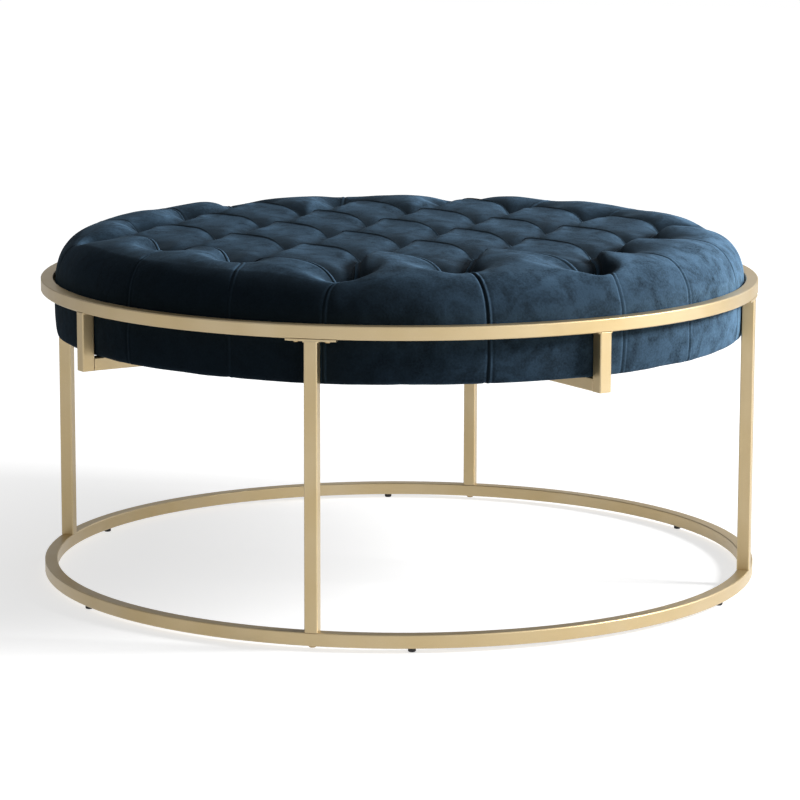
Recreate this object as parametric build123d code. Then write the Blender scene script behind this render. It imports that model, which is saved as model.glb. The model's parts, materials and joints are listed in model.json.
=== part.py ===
from build123d import *
import os
from math import atan2, cos, hypot, pi, sin, tan

os.makedirs("parts", exist_ok=True)

# A round ottoman coffee table: a tufted seat held inside a bolted frame of two square-tube rings.
# Millimetres, +Z up, origin on the floor under the middle. Legs stand on the X and Y axes.

# Frame tube
ring_outer_radius = 457.0
tube_width = 16.0
tube_wall = 1.2
tube_corner_bevel = 1.0
frame_height = 385.0
cut_overrun = 2.0

# Places of the legs and of the hanger posts round the ring, in degrees
leg_angles = {"right": 0.0, "back": 90.0, "left": 180.0, "front": 270.0}
post_angles = {"back_right": 45.0, "back_left": 135.0, "front_left": 225.0, "front_right": 315.0}

# Floor glides pushed into the underside of the base ring
glide_count = 6
first_glide_angle = 45.0
glide_height = 5.0
glide_radius = 4.8
glide_bevel = 1.0
glide_stem_radius = 3.0
glide_stem_length = 8.0
glide_barb_radius = 3.4
glide_barb_height = 2.0
glide_hole_clearance = 0.15

# Leg bolts, one up through the base ring into each leg
leg_bolt_radius = 2.5
leg_bolt_length = 28.0
leg_bolt_head_radius = 4.75
leg_bolt_head_height = 2.8
leg_bolt_clearance = 0.3
leg_insert_height = 12.0
leg_insert_fit = 0.1
thread_fit = 0.1
screw_bevel_share = 0.5

# Curved plates welded on the leg tops, and the screws that hold them to the top ring
leg_plate_length = 60.0
leg_plate_thickness = 2.5
plate_screw_offset = 19.0
plate_screw_radius = 2.0
plate_screw_length = 9.0
plate_screw_head_radius = 4.0
plate_screw_head_height = 2.4
plate_screw_clearance = 0.25
ring_nut_radius = 4.2
ring_nut_sides = 6
ring_nut_height = 6.0

# Cross bars that carry the seat, and their hanger posts
bar_drop = 56.0
seat_screw_circle_radius = 250.0
seat_screw_radius = 2.5
seat_screw_length = 30.0
seat_screw_head_radius = 5.0
seat_screw_head_height = 3.0
seat_screw_clearance = 0.3

# Seat: board, foam and cover
soft_gap = 0.3
seat_ring_gap = 0.5
under_cloth_thickness = 1.5
cover_lip_width = 40.0
board_thickness = 15.0
cover_side_thickness = 10.0
foam_height = 73.0
foam_bevel = 24.0

# T-nuts let into the top of the board
tee_flange_radius = 8.0
tee_flange_thickness = 1.2
tee_barrel_radius = 3.3
tee_barrel_length = 10.0
tee_clearance = 0.2

# Ties that pull the tufts down through square holes in the foam to the board
tie_radius = 1.3
tie_sides = 6
tie_hole_width = 3.6

# Diamond tufting of the cover, in rows that lie askew to the legs; the longest row spans the seat
# but for the margin at its ends, and the gap between rows is a share of the pitch along them
tuft_margin = 83.0
tuft_row_gap_share = 0.766
longest_row_count = 6
outermost_row = 3
tuft_row_angle = 23.7
tuft_floor_thickness = 8.0
tuft_depth = 28.0
fold_depth = 13.0
crown_power = 3.4
strips_per_fold = 4

# Outer wall of the cover, drawn in at the pleats that run down from the outer tufts
pleat_depth = 5.0
pleat_fullness_power = 0.45
pleat_rim_angles = (0.0, 28.0, 48.0, 67.0, 90.0)
side_draw = 2.5
shoulder_radius = 38.0
shoulder_angle = 70.0
shoulder_drop = 47.0
seat_corner_radius = 8.0

# Levels and radii worked out from the sizes above
ring_inner_radius = ring_outer_radius - tube_width
ring_centre_radius = ring_outer_radius - tube_width / 2
base_ring_bottom = glide_height
base_ring_top = base_ring_bottom + tube_width
top_ring_bottom = frame_height - tube_width
leg_top = top_ring_bottom - leg_plate_thickness
bar_bottom = top_ring_bottom - bar_drop - tube_width
bar_top = bar_bottom + tube_width
seat_bottom = bar_top + soft_gap
board_bottom = seat_bottom + under_cloth_thickness + soft_gap
board_top = board_bottom + board_thickness
foam_bottom = board_top + soft_gap
foam_top = foam_bottom + foam_height
cavity_top = foam_top + soft_gap
seat_radius = ring_inner_radius - seat_ring_gap
cavity_radius = seat_radius - cover_side_thickness
foam_radius = cavity_radius - soft_gap
lip_inner_radius = cavity_radius - cover_lip_width
tuft_pitch = 2 * (seat_radius - tuft_margin) / (longest_row_count - 1)
tuft_row_gap = tuft_pitch * tuft_row_gap_share
tuft_level = cavity_top + tuft_floor_thickness
crown_level = tuft_level + tuft_depth
fold_level = crown_level - fold_depth


def export(shape, name):
    """Write one named piece to its own file."""
    export_step(shape, f"parts/{name}.step")


def around(angle, radius=0.0, height=0.0):
    """A place at an angle round the table, a radius out and a height up."""
    return Rot(0, 0, angle) * Pos(radius, 0, height)


def rod(radius, length):
    """An upright round bar standing on the origin."""
    return extrude(Circle(radius), length)


def bar_section():
    """Outline of the square tube, its corners bevelled."""
    return chamfer(Rectangle(tube_width, tube_width).vertices(), tube_corner_bevel)


def tube_section():
    """The square tube cut across."""
    bore = tube_width - 2 * tube_wall
    return bar_section() - Rectangle(bore, bore)


def straight_tube(length):
    """A length of tube standing on the origin."""
    return extrude(tube_section(), length)


def standing_plane(radius, level):
    """Upright plane through the table's axis, its own origin a radius out and a level up."""
    return Plane(origin=(radius, 0, level), x_dir=(1, 0, 0), z_dir=(0, -1, 0))


def ring_tube(bottom):
    """Tube bent to a full circle and welded to itself."""
    return revolve(standing_plane(ring_centre_radius, bottom + tube_width / 2) * tube_section(), Axis.Z)


def glide_angles():
    """Angles of the floor glides, evenly spaced."""
    return [first_glide_angle + index * 360 / glide_count for index in range(glide_count)]


def plate_screw_places(leg_angle):
    """Places of the two screws through the plate of one leg, at floor level."""
    swing = atan2(plate_screw_offset, ring_centre_radius) * 180 / pi
    return [around(leg_angle + side * swing, ring_centre_radius) for side in (-1, 1)]


def every_plate_screw():
    """Places of all the screws up into the top ring."""
    return [place for angle in leg_angles.values() for place in plate_screw_places(angle)]


def screw(radius, length, head_radius, head_height):
    """A screw pointing up, its bevelled head under the origin."""
    head = Pos(0, 0, -head_height) * rod(head_radius, head_height)
    head = chamfer(head.edges().group_by(Axis.Z)[0], head_height * screw_bevel_share)
    return head + rod(radius, length)


def base_ring():
    """Lower ring with holes for the leg bolts and, underneath, for the glides."""
    ring = ring_tube(base_ring_bottom)
    bolt_hole = rod(leg_bolt_radius + leg_bolt_clearance, tube_width + 2 * cut_overrun)
    glide_hole = rod(glide_stem_radius + glide_hole_clearance, tube_wall + 2 * cut_overrun)
    start = base_ring_bottom - cut_overrun
    for angle in leg_angles.values():
        ring -= around(angle, ring_centre_radius, start) * bolt_hole
    for angle in glide_angles():
        ring -= around(angle, ring_centre_radius, start) * glide_hole
    return ring


def top_ring():
    """Upper ring with screw holes over the leg plates."""
    ring = ring_tube(top_ring_bottom)
    hole = rod(plate_screw_radius + plate_screw_clearance, tube_wall + 2 * cut_overrun)
    for place in every_plate_screw():
        ring -= place * Pos(0, 0, top_ring_bottom - cut_overrun) * hole
    return ring


def leg(angle):
    """Upright tube between the base ring and its top plate."""
    return around(angle, ring_centre_radius, base_ring_top) * straight_tube(leg_top - base_ring_top)


def leg_insert(angle):
    """Tapped block welded into the foot of a leg."""
    side = tube_width - 2 * tube_wall - 2 * leg_insert_fit
    block = extrude(Rectangle(side, side), leg_insert_height)
    block -= rod(leg_bolt_radius + thread_fit, leg_insert_height)
    return around(angle, ring_centre_radius, base_ring_top) * block


def leg_plate(angle):
    """Plate cut to the sweep of the ring, welded on a leg top, with two screw holes."""
    half_swing = leg_plate_length / ring_centre_radius * 90 / pi
    middle = standing_plane(ring_centre_radius, leg_top + leg_plate_thickness / 2)
    blank = middle * Rectangle(tube_width, leg_plate_thickness)
    plate = around(angle - half_swing) * revolve(blank, Axis.Z, 2 * half_swing)
    hole = rod(plate_screw_radius + plate_screw_clearance, leg_plate_thickness + 2 * cut_overrun)
    for place in plate_screw_places(angle):
        plate -= place * Pos(0, 0, leg_top - cut_overrun) * hole
    return plate


def leg_bolts():
    """Button-head bolts up through the base ring into the legs."""
    bolt = screw(leg_bolt_radius, leg_bolt_length, leg_bolt_head_radius, leg_bolt_head_height)
    places = [around(angle, ring_centre_radius, base_ring_bottom) for angle in leg_angles.values()]
    return Compound(children=[place * bolt for place in places])


def plate_screws():
    """Pan-head screws up through the leg plates."""
    one = screw(plate_screw_radius, plate_screw_length, plate_screw_head_radius, plate_screw_head_height)
    return Compound(children=[place * Pos(0, 0, leg_top) * one for place in every_plate_screw()])


def ring_nuts():
    """Threaded nuts fixed inside the top ring over the leg plates."""
    nut = extrude(RegularPolygon(ring_nut_radius, ring_nut_sides), ring_nut_height)
    nut -= rod(plate_screw_radius + thread_fit, ring_nut_height)
    level = top_ring_bottom + tube_wall
    return Compound(children=[place * Pos(0, 0, level) * nut for place in every_plate_screw()])


def hanger_post(angle):
    """Short tube hung under the top ring, closed at its foot by a welded cap."""
    length = top_ring_bottom - bar_bottom
    bore = tube_width - 2 * tube_wall
    post = extrude(bar_section(), length)
    post -= Pos(0, 0, tube_wall) * extrude(Rectangle(bore, bore), length)
    return around(angle, ring_centre_radius, bar_bottom) * post


def bar_tube(inner_end, outer_end, screw_places):
    """Tube lying along X between two ends, with holes for the seat screws."""
    lie_down = Pos(inner_end, 0, bar_bottom + tube_width / 2) * Rot(0, 90, 0)
    bar = lie_down * straight_tube(outer_end - inner_end)
    hole = rod(seat_screw_radius + seat_screw_clearance, tube_width + 2 * cut_overrun)
    for x in screw_places:
        bar -= Pos(x, 0, bar_bottom - cut_overrun) * hole
    return bar


def long_cross_bar():
    """Bar from the front left post through the middle to the back right post."""
    screws = (-seat_screw_circle_radius, seat_screw_circle_radius)
    bar = bar_tube(-ring_inner_radius, ring_inner_radius, screws)
    return Rot(0, 0, post_angles["back_right"]) * bar


def half_cross_bar(angle):
    """Bar from the side of the long bar out to one post."""
    bar = bar_tube(tube_width / 2, ring_inner_radius, (seat_screw_circle_radius,))
    return Rot(0, 0, angle) * bar


def seat_screw_places():
    """Places of the screws up through the bars into the board, at floor level."""
    return [around(angle, seat_screw_circle_radius) for angle in post_angles.values()]


def seat_screws():
    """Screws up through the cross bars into the nuts in the board."""
    one = screw(seat_screw_radius, seat_screw_length, seat_screw_head_radius, seat_screw_head_height)
    return Compound(children=[place * Pos(0, 0, bar_bottom) * one for place in seat_screw_places()])


def board_nuts():
    """Flanged nuts set flush in the top of the board."""
    flange = Pos(0, 0, -tee_flange_thickness) * rod(tee_flange_radius, tee_flange_thickness)
    nut = flange + Pos(0, 0, -tee_barrel_length) * rod(tee_barrel_radius, tee_barrel_length)
    nut -= Pos(0, 0, -tee_barrel_length) * rod(seat_screw_radius + thread_fit, tee_barrel_length)
    return Compound(children=[place * Pos(0, 0, board_top) * nut for place in seat_screw_places()])


def floor_glide(angle):
    """Round pad with a barbed stem pushed up into the base ring."""
    barb_level = glide_height + tube_wall + glide_hole_clearance
    stem_top = glide_height + glide_stem_length
    with BuildSketch(Plane.XZ) as half:
        with BuildLine():
            Polyline(
                (0, 0),
                (glide_radius - glide_bevel, 0),
                (glide_radius, glide_bevel),
                (glide_radius, glide_height),
                (glide_stem_radius, glide_height),
                (glide_stem_radius, barb_level),
                (glide_barb_radius, barb_level),
                (glide_stem_radius, barb_level + glide_barb_height),
                (glide_stem_radius, stem_top),
                (0, stem_top),
                close=True,
            )
        make_face()
    return around(angle, ring_centre_radius) * revolve(half.sketch, Axis.Z)


def tuft_row(row):
    """Tufts of one row, counted from the middle row, before the rows are turned."""
    count = longest_row_count - abs(row)
    return [((place - (count - 1) / 2) * tuft_pitch, row * tuft_row_gap) for place in range(count)]


def all_tufts():
    """Every tuft of the seat."""
    return [tuft for row in range(-outermost_row, outermost_row + 1) for tuft in tuft_row(row)]


def outer_tufts():
    """The tufts round the edge of the pattern, in order from the right end of the middle row."""
    right_ends = [tuft_row(row)[-1] for row in range(outermost_row)]
    last_row = tuft_row(outermost_row)[::-1]
    left_ends = [tuft_row(row)[0] for row in range(outermost_row - 1, 0, -1)]
    half = right_ends + last_row + left_ends
    return half + [(-x, -y) for x, y in half]


def rim_angles():
    """Angle at which the pleat of each outer tuft meets the rim, in radians."""
    quarter = [angle * pi / 180 for angle in pleat_rim_angles]
    half = quarter[:-1] + [pi - angle for angle in quarter[:0:-1]]
    return half + [pi + angle for angle in half]


def fold_line(start, end):
    """Points along the sewn fold between two tufts, which rises between its low ends."""
    points = []
    for step in range(strips_per_fold + 1):
        share = step / strips_per_fold
        x = start[0] + (end[0] - start[0]) * share
        y = start[1] + (end[1] - start[1]) * share
        points.append(Vector(x, y, tuft_level + (fold_level - tuft_level) * sin(pi * share)))
    return points


def diamond_puff(centre):
    """Crowned top of one diamond, lofted through arcs from its left tuft to its right tuft."""
    x, y = centre
    left, right = (x - tuft_pitch / 2, y), (x + tuft_pitch / 2, y)
    near, far = (x, y - tuft_row_gap), (x, y + tuft_row_gap)
    near_edge = fold_line(left, near) + fold_line(near, right)[1:]
    far_edge = fold_line(left, far) + fold_line(far, right)[1:]
    sections = [Vertex(*near_edge[0])]
    for low, high in zip(near_edge[1:-1], far_edge[1:-1]):
        reach = abs(low.X - x) / (tuft_pitch / 2)
        crest = Vector(low.X, y, crown_level - tuft_depth * reach**crown_power)
        sections.append(Wire([Edge.make_three_point_arc(low, crest, high)]))
    sections.append(Vertex(*near_edge[-1]))
    return Shell.make_loft(sections, ruled=True)


def wall_section(inner, angle, fullness):
    """Cover from a point on the tufting over the shoulder and down to the seat's underside."""
    recess = pleat_depth * (1 - fullness)
    rim = seat_radius - recess
    rim_x, rim_y = rim * cos(angle), rim * sin(angle)
    reach = hypot(rim_x - inner.X, rim_y - inner.Y)
    inward_x, inward_y = (inner.X - rim_x) / reach, (inner.Y - rim_y) / reach

    def at(depth, level):
        return Vector(rim_x + inward_x * depth, rim_y + inward_y * depth, level)

    def shoulder(turn):
        depth = side_draw + shoulder_radius * (1 - cos(turn))
        return depth, side_top + shoulder_radius * sin(turn)

    side_top = crown_level - shoulder_drop - recess
    corner_top = seat_bottom + seat_corner_radius
    turn = shoulder_angle * pi / 180
    depth, level = shoulder(turn)
    chord_depth, chord_rise = reach - depth, inner.Z - level
    chord_turn = atan2(chord_rise, chord_depth)
    bow = tan((pi / 2 - turn - chord_turn) / 2) / 2
    crest = at(
        depth + chord_depth / 2 - chord_rise * bow,
        level + chord_rise / 2 + chord_depth * bow,
    )
    corner_cut = seat_corner_radius * (1 - cos(pi / 4))
    edges = [
        Edge.make_three_point_arc(inner, crest, at(depth, level)),
        Edge.make_three_point_arc(at(depth, level), at(*shoulder(turn / 2)), at(side_draw, side_top)),
        Edge.make_three_point_arc(
            at(side_draw, side_top), at(0, (side_top + corner_top) / 2), at(side_draw, corner_top)
        ),
        Edge.make_three_point_arc(
            at(side_draw, corner_top),
            at(side_draw + corner_cut, seat_bottom + corner_cut),
            at(side_draw + seat_corner_radius, seat_bottom),
        ),
    ]
    return Wire(edges)


def wall_panel(start, end, start_angle, end_angle):
    """Full panel of the cover between two pleats, lofted through arcs; also its lower edge."""
    if start[1] == end[1]:
        inward = -1 if start[1] > 0 else 1
        corner = ((start[0] + end[0]) / 2, start[1] + inward * tuft_row_gap)
        edge = fold_line(start, corner) + fold_line(corner, end)[1:]
    else:
        edge = fold_line(start, end)
    sections = []
    for step, point in enumerate(edge):
        share = step / (len(edge) - 1)
        angle = start_angle + (end_angle - start_angle) * share
        fullness = sin(pi * share) ** pleat_fullness_power if 0 < share < 1 else 0.0
        sections.append(wall_section(point, angle, fullness))
    feet = [(section @ 1) for section in sections]
    return Shell.make_loft(sections, ruled=True), feet


def tufted_form():
    """Closed outer form of the seat: diamond puffs, panels between pleats, flat underside."""
    tufts = {(round(x), round(y)) for x, y in all_tufts()}
    faces = []
    for row in range(-outermost_row, outermost_row + 1):
        for left, right in zip(tuft_row(row), tuft_row(row)[1:]):
            centre = ((left[0] + right[0]) / 2, left[1])
            ends = [(round(centre[0]), round(centre[1] + side * tuft_row_gap)) for side in (-1, 1)]
            if all(end in tufts for end in ends):
                faces += diamond_puff(centre).faces()
    outer, angles = outer_tufts(), rim_angles()
    feet = []
    for index, start in enumerate(outer):
        after = (index + 1) % len(outer)
        end_angle = angles[after] + (2 * pi if after == 0 else 0)
        panel, lower_edge = wall_panel(start, outer[after], angles[index], end_angle)
        faces += panel.faces()
        feet += lower_edge[:-1]
    faces.append(Face(Wire.make_polygon(feet, close=True)))
    return Rot(0, 0, tuft_row_angle) * Solid(Shell(faces))


def bevelled_block(radius, bottom, top):
    """Round block with its upper edge cut off at a slant."""
    block = Pos(0, 0, bottom) * rod(radius, top - bottom)
    return chamfer(block.edges().group_by(Axis.Z)[-1], foam_bevel)


def seat_cover():
    """Tufted cover with its wadding, open underneath for the board and turned in as a lip."""
    lip_top = seat_bottom + under_cloth_thickness
    cavity = bevelled_block(cavity_radius, lip_top, cavity_top)
    mouth_depth = under_cloth_thickness + 2 * cut_overrun
    mouth = Pos(0, 0, seat_bottom - cut_overrun) * rod(lip_inner_radius, mouth_depth)
    return tufted_form() - (cavity + mouth)


def tie_places():
    """Places of the tufts in plan, with the rows turned as they are on the seat."""
    return [Rot(0, 0, tuft_row_angle) * Pos(x, y, 0) for x, y in all_tufts()]


def seat_foam():
    """Firm foam disc on the board, with a hole punched under every tuft."""
    block = bevelled_block(foam_radius, foam_bottom, foam_top)
    hole = extrude(Rectangle(tie_hole_width, tie_hole_width), foam_height + 2 * cut_overrun)
    return block - [place * Pos(0, 0, foam_bottom - cut_overrun) * hole for place in tie_places()]


def tuft_ties():
    """Twine from the tufts down through the foam, held to the top of the board."""
    tie = extrude(RegularPolygon(tie_radius, tie_sides), foam_top - board_top)
    return Compound(children=[place * Pos(0, 0, board_top) * tie for place in tie_places()])


def seat_board():
    """Plywood disc with bores for the flanged nuts."""
    board = Pos(0, 0, board_bottom) * rod(foam_radius, board_thickness)
    bore = Pos(0, 0, board_bottom - cut_overrun) * rod(
        tee_barrel_radius + tee_clearance, board_thickness + 2 * cut_overrun
    )
    recess_depth = tee_flange_thickness + tee_clearance
    recess = Pos(0, 0, board_top - recess_depth) * rod(
        tee_flange_radius + tee_clearance, recess_depth + cut_overrun
    )
    for place in seat_screw_places():
        board -= place * (bore + recess)
    return board


def dust_cover():
    """Black cloth under the board, inside the turned-in lip, pierced for the seat screws."""
    cloth = Pos(0, 0, seat_bottom) * rod(lip_inner_radius - soft_gap, under_cloth_thickness)
    hole = rod(seat_screw_radius + seat_screw_clearance, under_cloth_thickness + 2 * cut_overrun)
    for place in seat_screw_places():
        cloth -= place * Pos(0, 0, seat_bottom - cut_overrun) * hole
    return cloth


export(base_ring(), "base_ring")
export(top_ring(), "top_ring")
for side, place in leg_angles.items():
    export(leg(place), f"leg_{side}")
    export(leg_plate(place), f"leg_plate_{side}")
    export(leg_insert(place), f"leg_insert_{side}")
export(leg_bolts(), "leg_bolts")
export(plate_screws(), "plate_screws")
export(ring_nuts(), "ring_nuts")
for side, place in post_angles.items():
    export(hanger_post(place), f"hanger_post_{side}")
export(long_cross_bar(), "cross_bar_long")
export(half_cross_bar(post_angles["back_left"]), "cross_bar_back_left")
export(half_cross_bar(post_angles["front_right"]), "cross_bar_front_right")
for number, place in enumerate(glide_angles(), start=1):
    export(floor_glide(place), f"floor_glide_{number}")
export(seat_screws(), "seat_screws")
export(board_nuts(), "board_nuts")
export(seat_board(), "seat_board")
export(dust_cover(), "dust_cover")
export(seat_foam(), "seat_foam")
export(tuft_ties(), "tuft_ties")
export(seat_cover(), "seat_cover")
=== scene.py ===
import json
import logging
import math
from dataclasses import dataclass, field, replace
from enum import Enum
from functools import cache, reduce

import bpy
import numpy as np
from mathutils import Matrix, Vector, noise
from mathutils.kdtree import KDTree


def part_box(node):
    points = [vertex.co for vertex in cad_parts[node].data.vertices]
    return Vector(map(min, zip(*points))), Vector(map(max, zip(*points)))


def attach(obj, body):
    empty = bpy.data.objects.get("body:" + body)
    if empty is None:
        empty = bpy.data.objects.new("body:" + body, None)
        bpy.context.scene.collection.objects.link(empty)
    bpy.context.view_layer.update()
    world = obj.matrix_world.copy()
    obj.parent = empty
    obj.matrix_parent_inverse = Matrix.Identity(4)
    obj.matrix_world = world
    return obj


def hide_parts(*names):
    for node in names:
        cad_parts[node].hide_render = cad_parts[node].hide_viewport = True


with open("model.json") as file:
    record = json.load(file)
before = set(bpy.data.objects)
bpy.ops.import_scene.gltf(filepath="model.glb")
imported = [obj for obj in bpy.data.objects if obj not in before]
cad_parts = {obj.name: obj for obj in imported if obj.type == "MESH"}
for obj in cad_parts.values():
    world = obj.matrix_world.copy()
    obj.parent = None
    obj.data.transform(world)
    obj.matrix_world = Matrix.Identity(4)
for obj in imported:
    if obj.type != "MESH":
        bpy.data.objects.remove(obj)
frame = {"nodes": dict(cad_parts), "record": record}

log = logging.getLogger("ottoman")
BODY = "root"
MM = 0.001
GOLDEN_ANGLE = 2.399
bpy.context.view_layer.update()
FLOAT, VECTOR, VECTOR_MATH = "NodeSocketFloat", "NodeSocketVector", "ShaderNodeVectorMath"
# Masks painted into the velvet: shade in seams and creases, light on the rolls, shade in the hollows.
SEAT_MASKS = ("seam_shade", "roll_light", "hollow_shade")
Colour = tuple[float, float, float, float]
Place = tuple[float, float]
Array = np.ndarray
Piece, Socket, Tree = bpy.types.Object, bpy.types.NodeSocket, bpy.types.NodeTree


def heading(degrees: float) -> tuple[float, float, float]:
    """Give the level direction at an angle from the X axis."""
    return math.cos(math.radians(degrees)), math.sin(math.radians(degrees)), 0.0


class NodeWriter:
    """Adds nodes to one node tree and wires them. A value is a socket, or what a socket may hold."""

    def __init__(self, tree: Tree) -> None:
        """Keep the tree to write in."""
        self.tree = tree

    def feed(self, socket: Socket, value: object) -> None:
        """Link a socket into another, or give it a plain value.

        Args:
            socket: input to feed.
            value: the value.
        """
        if isinstance(value, Socket):
            self.tree.links.new(value, socket)
        else:
            socket.default_value = value

    def fill(self, node: bpy.types.Node, **values: object) -> bpy.types.Node:
        """Set up a node.

        Args:
            node: the node.
            values: its inputs by name, with spaces as underscores, or its attributes.

        Returns:
            The same node.
        """
        for name, value in values.items():
            socket = node.inputs.get(name.replace("_", " "))
            if socket is None:
                setattr(node, name, value)
            else:
                self.feed(socket, value)
        return node

    def add(self, kind: str, **values: object) -> bpy.types.Node:
        """Add a node by Blender's class name and set it up."""
        return self.fill(self.tree.nodes.new(kind), **values)

    def group(self, tree: Tree, **values: float) -> bpy.types.NodeOutputs:
        """Put in a node group with these inputs, and give its outputs."""
        return self.add("ShaderNodeGroup", node_tree=tree, **values).outputs

    def math(self, operation: str, *terms: object, kind: str = "ShaderNodeMath") -> Socket:
        """Combine values.

        Args:
            operation: name of the arithmetic, such as MULTIPLY.
            terms: the values.
            kind: class name of the node.

        Returns:
            The result's socket.
        """
        node = self.add(kind, operation=operation)
        for socket, term in zip(node.inputs, terms):
            self.feed(socket, term)
        return node.outputs["Value"]

    def times(self, *terms: object) -> Socket:
        """Multiply all values."""
        return reduce(lambda first, second: self.math("MULTIPLY", first, second), terms)

    def along(self, vector: Socket, direction: object) -> Socket:
        """Give how far a vector runs along a direction."""
        return self.math("DOT_PRODUCT", vector, direction, kind=VECTOR_MATH)

    def mix(self, share: object, first: object, second: object) -> Socket:
        """Blend two colours.

        Args:
            share: value from 0 to 1.
            first: colour at 0.
            second: colour at 1.

        Returns:
            The blended colour's socket.
        """
        node = self.add("ShaderNodeMix", data_type="RGBA", Factor=share)
        self.feed(node.inputs[6], first)
        self.feed(node.inputs[7], second)
        return node.outputs[2]

    def ramp(self, value: Socket, low: object, high: object, least: float = 0.0, most: float = 1.0) -> Socket:
        """Stretch a value and cut it off at both ends.

        Args:
            value: socket to stretch.
            low: value that gives the least.
            high: value that gives the most.
            least: result at low.
            most: result at high.

        Returns:
            The stretched value's socket.
        """
        node = self.add("ShaderNodeMapRange", clamp=True, Value=value, From_Min=low, From_Max=high, To_Min=least,
                        To_Max=most)
        return node.outputs["Result"]

    def place(self) -> Socket:
        """Give the place on the object, in metres."""
        return self.add("ShaderNodeTexCoord").outputs["Object"]

    def normal(self) -> Socket:
        """Give the surface's normal."""
        return self.add("ShaderNodeNewGeometry").outputs["Normal"]

    def noise(self, place: Socket, scale: object, detail: float, **values: object) -> Socket:
        """Give cloudy noise, from 0 to 1, at a scale to the metre."""
        return self.add("ShaderNodeTexNoise", Vector=place, Scale=scale, Detail=detail, **values).outputs["Fac"]

    def bump(self, height: Socket, strength: float, distance: float = 1.0, **values: object) -> Socket:
        """Give the normal of a surface raised by a height."""
        node = self.add("ShaderNodeBump", Height=height, Strength=strength, Distance=distance, **values)
        return node.outputs["Normal"]


def new_group(name: str, inputs: dict[str, float], outputs: dict[str, str]) -> tuple:
    """Start a shader node group.

    Args:
        name: name of the group.
        inputs: names of its number inputs and their usual values.
        outputs: names of its outputs and their socket types.

    Returns:
        The group's tree, its writer, the sockets it is given and its output node.
    """
    tree = bpy.data.node_groups.new(name, "ShaderNodeTree")
    for label, usual in inputs.items():
        socket = tree.interface.new_socket(label, in_out="INPUT", socket_type=FLOAT)
        socket.default_value = usual
    for label, kind in outputs.items():
        tree.interface.new_socket(label, in_out="OUTPUT", socket_type=kind)
    return tree, NodeWriter(tree), tree.nodes.new("NodeGroupInput").outputs, tree.nodes.new("NodeGroupOutput")


@dataclass(frozen=True)
class SharedEffects:
    """Shader node groups that the finishes use, each built once."""

    fine_share: float = 4.3
    flat_edge: float = 0.99
    sharp_edge: float = 0.86
    patch_scale: float = 70.0

    @cache
    def grain(self) -> Tree:
        """Build the fine grain that paint, plastic and cloth have.

        Returns:
            A group with Mask, from 0 to 1, and Height in metres.
        """
        tree, write, given, result = new_group(
            "surface_grain", {"Size": 0.0006, "Depth": 0.00002, "Roughness": 0.6}, {"Mask": FLOAT, "Height": FLOAT}
        )
        specks = write.noise(write.place(), write.math("DIVIDE", 1.0, given["Size"]), 3.0,
                             Roughness=given["Roughness"])
        write.fill(result, Mask=specks, Height=write.times(specks, given["Depth"]))
        return tree

    @cache
    def clouds(self) -> Tree:
        """Build the slow variation of tone over a surface.

        Returns:
            A group with Mask, from 0 to 1, broad and soft, and Fine, a smaller version.
        """
        tree, write, given, result = new_group(
            "tone_clouds", {"Size": 0.05, "Warp": 0.4, "Contrast": 0.25}, {"Mask": FLOAT, "Fine": FLOAT}
        )
        scale, place = write.math("DIVIDE", 1.0, given["Size"]), write.place()
        ends = [write.math(way, 0.5, given["Contrast"]) for way in ("SUBTRACT", "ADD")]
        broad = write.noise(place, scale, 2.0, Distortion=given["Warp"])
        fine = write.noise(place, write.times(scale, self.fine_share), 3.0)
        write.fill(result, Mask=write.ramp(broad, *ends), Fine=write.ramp(fine, *ends))
        return tree

    @cache
    def edge_wear(self) -> Tree:
        """Build the mask of edges that are rubbed brighter and carry a painted highlight.

        Returns:
            A group with Mask, 1 on rubbed edges that also carry a painted highlight, and Normal, with the edges
            softened.
        """
        tree, write, given, result = new_group(
            "edge_wear", {"Width": 0.0012, "Amount": 1.0, "Patchiness": 0.4}, {"Mask": FLOAT, "Normal": VECTOR}
        )
        soft = write.add("ShaderNodeBevel", samples=6, Radius=given["Width"]).outputs["Normal"]
        edge = write.ramp(write.along(soft, write.normal()), self.flat_edge, self.sharp_edge)
        patches = write.times(write.noise(write.place(), self.patch_scale, 4.0), given["Patchiness"])
        whole = write.math("SUBTRACT", 1.0, given["Patchiness"])
        mask = write.times(edge, write.math("MULTIPLY_ADD", patches, 2.0, whole), given["Amount"])
        write.fill(result, Mask=write.ramp(mask, 0.0, 1.0), Normal=soft)
        return tree

    @cache
    def weave(self) -> Tree:
        """Build the crossing threads of a cloth.

        Returns:
            A group with Height, from 0 to 1, of threads that cross in plan.
        """
        tree, write, given, result = new_group("thread_weave", {"Pitch": 0.001}, {"Height": FLOAT})
        parts = write.add("ShaderNodeSeparateXYZ", Vector=write.place()).outputs
        turn = write.math("DIVIDE", 2 * math.pi, given["Pitch"])
        waves = [write.math("SINE", write.times(parts[axis], turn)) for axis in ("X", "Y")]
        write.fill(result, Height=write.ramp(write.times(*waves), -1.0, 1.0))
        return tree


EFFECTS = SharedEffects()


class Recipe:
    """A finish that builds its material from what surface gives."""

    name: str

    def surface(self, write: NodeWriter) -> dict[str, object]:
        """Give the shader's inputs by name; each finish has its own."""
        raise NotImplementedError

    def material(self) -> bpy.types.Material:
        """Build the material, or fetch it when it is there.

        Returns:
            The material, with one Principled shader.
        """
        known = bpy.data.materials.get(self.name)
        if known:
            return known
        made = bpy.data.materials.new(self.name)
        made.use_nodes = True
        write = NodeWriter(made.node_tree)
        write.fill(made.node_tree.nodes["Principled BSDF"], **self.surface(write))
        return made


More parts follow.
